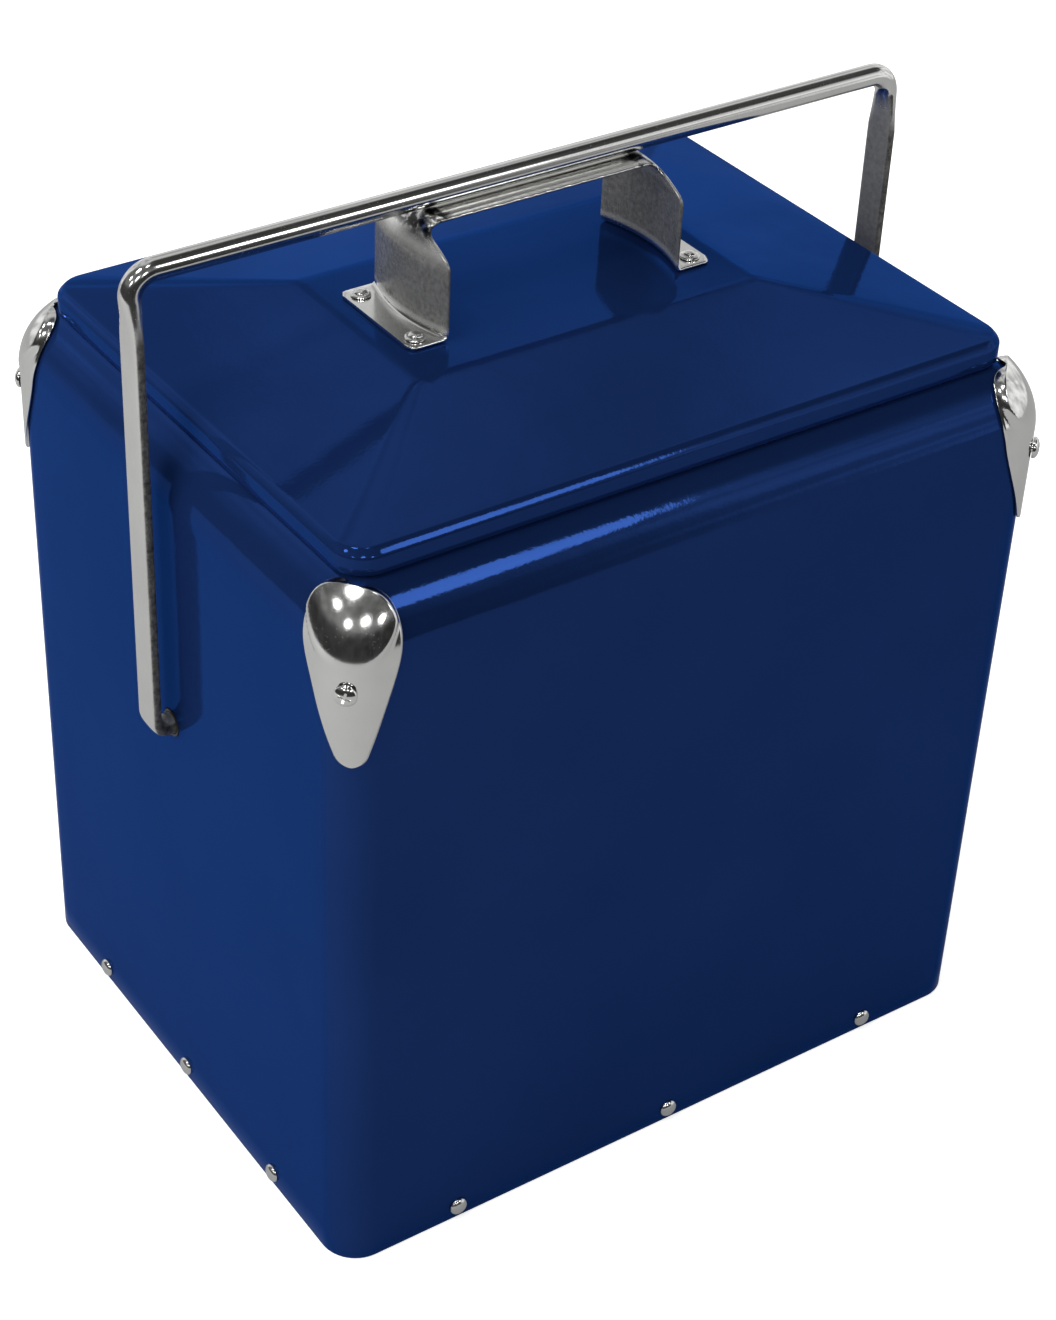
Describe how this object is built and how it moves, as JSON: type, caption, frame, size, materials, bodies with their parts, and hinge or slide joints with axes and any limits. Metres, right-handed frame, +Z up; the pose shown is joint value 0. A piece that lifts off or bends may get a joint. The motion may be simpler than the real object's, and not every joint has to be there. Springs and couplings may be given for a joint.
{
  "type": "cooler chest",
  "caption": "Upright painted steel cooler chest with a lift-off hipped lid, a bright lid grip and a swinging bail handle that locks the lid.",
  "frame": {"origin": "centre of the footprint on the ground, straight under the bail's middle", "axes": "+Z up; the long front face looks along -Y; +X to the right, along the bail bar and the bail's pivot axis"},
  "size_m": [0.351, 0.261, 0.3918],
  "materials": {
    "body_paint": "deep blue gloss enamel",
    "bright_steel": "bright plated steel, lightly scuffed",
    "zinc_steel": "dull zinc plate",
    "liner_plastic": "white moulded plastic, satin",
    "dark_plastic": "black moulded nylon",
    "rubber": "soft seal rubber",
    "foam": "white bead foam"
  },
  "bodies": {
    "chest": {"outer_shell": "body_paint", "bottom_pan": "body_paint", "inner_liner": "liner_plastic", "body_insulation": "foam", "rim_collar": "dark_plastic", "base_rivet_front_1": "bright_steel", "base_rivet_front_2": "bright_steel", "base_rivet_front_3": "bright_steel", "base_rivet_back_1": "bright_steel", "base_rivet_back_2": "bright_steel", "base_rivet_back_3": "bright_steel", "base_rivet_left_1": "bright_steel", "base_rivet_left_2": "bright_steel", "base_rivet_left_3": "bright_steel", "base_rivet_right_1": "bright_steel", "base_rivet_right_2": "bright_steel", "base_rivet_right_3": "bright_steel", "corner_cap_back_right": "bright_steel", "cap_screw_back_right": "bright_steel", "corner_cap_back_left": "bright_steel", "cap_screw_back_left": "bright_steel", "corner_cap_front_left": "bright_steel", "cap_screw_front_left": "bright_steel", "corner_cap_front_right": "bright_steel", "cap_screw_front_right": "bright_steel", "pivot_bushing_left": "dark_plastic", "pivot_plate_left": "zinc_steel", "pivot_bushing_right": "dark_plastic", "pivot_plate_right": "zinc_steel", "bottle_opener": "bright_steel", "opener_screw_1": "bright_steel", "opener_screw_2": "bright_steel", "drain_spout": "liner_plastic", "drain_nut": "liner_plastic"},
    "lid": {"lid_shell": "body_paint", "lid_liner": "liner_plastic", "lid_insulation": "foam", "lid_gasket": "rubber", "lid_handle": "bright_steel", "handle_rivet_left_front": "bright_steel", "handle_rivet_left_back": "bright_steel", "handle_rivet_right_front": "bright_steel", "handle_rivet_right_back": "bright_steel", "handle_backing_plate_left": "zinc_steel", "handle_backing_plate_right": "zinc_steel"},
    "bail": {"bail_handle": "bright_steel", "bail_retainer_left": "zinc_steel", "bail_retainer_right": "zinc_steel"},
    "plug": {"drain_plug": "liner_plastic", "plug_seal": "rubber"}
  },
  "joints": [
    {"name": "bail_swing", "type": "hinge", "parent": "chest", "child": "bail", "pos_m": [0, 0, 0.19], "axis": [1, 0, 0], "range_deg": [0, 137]},
    {"name": "lid_lift", "type": "slide", "parent": "chest", "child": "lid", "axis": [0, 0, 1], "range_m": [0, 0.0501]},
    {"name": "drain_plug_pull", "type": "slide", "parent": "chest", "child": "plug", "axis": [1, 0, 0], "range_m": [0, 0.03]}
  ],
  "couplings": [
    {"joint": "lid_lift", "follows": "bail_swing", "m_per_rad": 0.0209}
  ]
}
